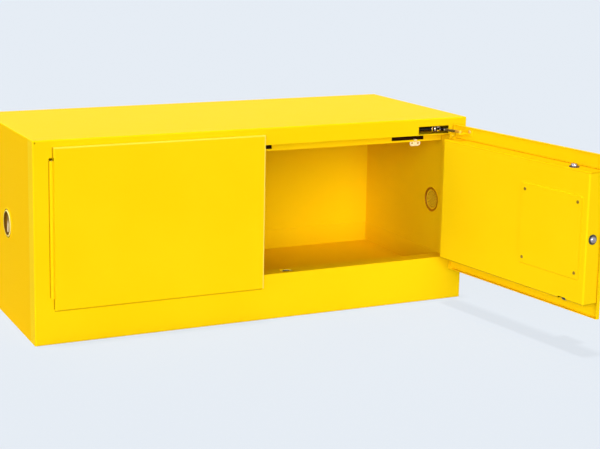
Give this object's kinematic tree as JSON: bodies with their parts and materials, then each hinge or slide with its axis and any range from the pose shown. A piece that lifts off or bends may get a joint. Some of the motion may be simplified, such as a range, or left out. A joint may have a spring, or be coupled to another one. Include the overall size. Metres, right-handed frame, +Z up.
{
  "type": "flammable safety cabinet",
  "caption": "Low double-walled steel safety cabinet for flammable liquids with self-closing doors, one open, a leakproof sump, side vents and a recessed handle latch.",
  "frame": {"origin": "middle of the base on the floor, on the cabinet's own centre lines", "axes": "+X to the viewer's right along the width, +Y to the back, +Z up"},
  "size_m": [1.1437, 0.9671, 0.457],
  "materials": {
    "outer_paint": "semi-gloss powder coat",
    "inner_paint": "semi-gloss powder coat",
    "zinc": "zinc plated",
    "steel": "drawn",
    "chrome": "polished",
    "brass": "machined",
    "black": "moulded",
    "cast_paint": "black powder coat"
  },
  "bodies": {
    "cabinet": {"outer_wrap": "outer_paint", "back_panel": "outer_paint", "base_panel": "outer_paint", "floor_supports": "zinc", "front_frame": "outer_paint", "liner_wrap": "inner_paint", "liner_back": "inner_paint", "sump_tray": "inner_paint", "door_stop": "inner_paint", "top_strike": "zinc", "bottom_strike": "zinc", "ground_stud": "brass", "ground_wing_nut": "zinc", "fusible_link": "brass", "link_hanger": "zinc", "left_vent_socket": "outer_paint", "left_vent_screen": "steel", "left_vent_plug": "brass", "left_hinge_frame_leaf": "outer_paint", "left_hinge_pin": "steel", "left_closer_tube": "steel", "left_closer_clamps": "zinc", "right_vent_socket": "outer_paint", "right_vent_screen": "steel", "right_vent_plug": "brass", "right_hinge_frame_leaf": "outer_paint", "right_hinge_pin": "steel", "right_closer_tube": "steel", "right_closer_clamps": "zinc"},
    "left_door": {"left_door_pan": "outer_paint", "left_door_box": "inner_paint", "edge_strike": "zinc", "left_hinge_door_leaf": "outer_paint", "left_door_bracket": "zinc", "left_bracket_bolt": "zinc"},
    "left_closer_link": {"left_closer_link": "zinc"},
    "left_closer_rod": {"left_closer_rod": "chrome"},
    "right_door": {"right_door_pan": "outer_paint", "right_door_box": "inner_paint", "right_hinge_door_leaf": "outer_paint", "right_door_bracket": "zinc", "right_bracket_bolt": "zinc", "latch_cover_plate": "inner_paint", "cover_screws": "zinc", "handle_cup": "cast_paint", "paddle_pin": "steel", "paddle_spring": "steel", "latch_chassis": "zinc", "bolt_bushings": "black"},
    "right_closer_link": {"right_closer_link": "zinc"},
    "right_closer_rod": {"right_closer_rod": "chrome"},
    "paddle": {"handle_paddle": "cast_paint"},
    "latch_hub": {"latch_hub": "zinc"},
    "top_bolt": {"top_bolt": "steel"},
    "bottom_bolt": {"bottom_bolt": "steel"},
    "middle_bolt": {"middle_bolt": "steel"},
    "lock_cylinder": {"lock_cylinder": "chrome"}
  },
  "joints": [
    {"name": "right_door_hinge", "type": "hinge", "parent": "cabinet", "child": "right_door", "pos_m": [0.506, -0.233, 0.259], "axis": [0, 0, 1], "range_deg": [-97, 4]},
    {"name": "right_link_pivot", "type": "hinge", "parent": "right_door", "child": "right_closer_link", "pos_m": [0.49444, -0.28113, 0.4295], "axis": [0, 0, 1], "range_deg": [-7.07, 171.57]},
    {"name": "right_rod_pivot", "type": "hinge", "parent": "right_closer_link", "child": "right_closer_rod", "pos_m": [0.47299, -0.2145, 0.4295], "axis": [0, 0, 1], "range_deg": [-72.63, 2.99]},
    {"name": "left_door_hinge", "type": "hinge", "parent": "cabinet", "child": "left_door", "pos_m": [-0.506, -0.233, 0.259], "axis": [0, 0, -1], "range_deg": [0, 101]},
    {"name": "left_link_pivot", "type": "hinge", "parent": "left_door", "child": "left_closer_link", "pos_m": [-0.45964, -0.21566, 0.4295], "axis": [0, 0, -1], "range_deg": [-178.64, 0]},
    {"name": "left_rod_pivot", "type": "hinge", "parent": "left_closer_link", "child": "left_closer_rod", "pos_m": [-0.38964, -0.2145, 0.4295], "axis": [0, 0, -1], "range_deg": [0, 75.62]},
    {"name": "paddle_pivot", "type": "hinge", "parent": "right_door", "child": "paddle", "pos_m": [0.55526, -0.62189, 0.2845], "axis": [0.1219, -0.9925, 0], "range_deg": [-25, 22]},
    {"name": "hub_pivot", "type": "hinge", "parent": "right_door", "child": "latch_hub", "pos_m": [0.53122, -0.66817, 0.2629], "axis": [-0.9925, -0.1219, 0], "range_deg": [-15.3, 13.46]},
    {"name": "top_bolt_slide", "type": "slide", "parent": "right_door", "child": "top_bolt", "axis": [0, 0, -1], "range_m": [-0.00668, 0.00588]},
    {"name": "bottom_bolt_slide", "type": "slide", "parent": "right_door", "child": "bottom_bolt", "axis": [0, 0, 1], "range_m": [-0.00668, 0.00588]},
    {"name": "middle_bolt_slide", "type": "slide", "parent": "right_door", "child": "middle_bolt", "axis": [-0.1219, 0.9925, 0], "range_m": [-0.00935, 0.00822]},
    {"name": "lock_turn", "type": "hinge", "parent": "right_door", "child": "lock_cylinder", "pos_m": [0.54335, -0.62336, 0.182], "axis": [-0.9925, -0.1219, 0], "range_deg": [0, 90]}
  ],
  "couplings": [
    {"joint": "right_link_pivot", "follows": "right_door_hinge", "ratio": -1.734},
    {"joint": "right_rod_pivot", "follows": "right_door_hinge", "ratio": 0.73404},
    {"joint": "left_link_pivot", "follows": "left_door_hinge", "ratio": -1.734},
    {"joint": "left_rod_pivot", "follows": "left_door_hinge", "ratio": 0.73404},
    {"joint": "hub_pivot", "follows": "paddle_pivot", "ratio": 0.6},
    {"joint": "top_bolt_slide", "follows": "paddle_pivot", "m_per_rad": 0.015},
    {"joint": "bottom_bolt_slide", "follows": "paddle_pivot", "m_per_rad": 0.015},
    {"joint": "middle_bolt_slide", "follows": "paddle_pivot", "m_per_rad": 0.021}
  ]
}
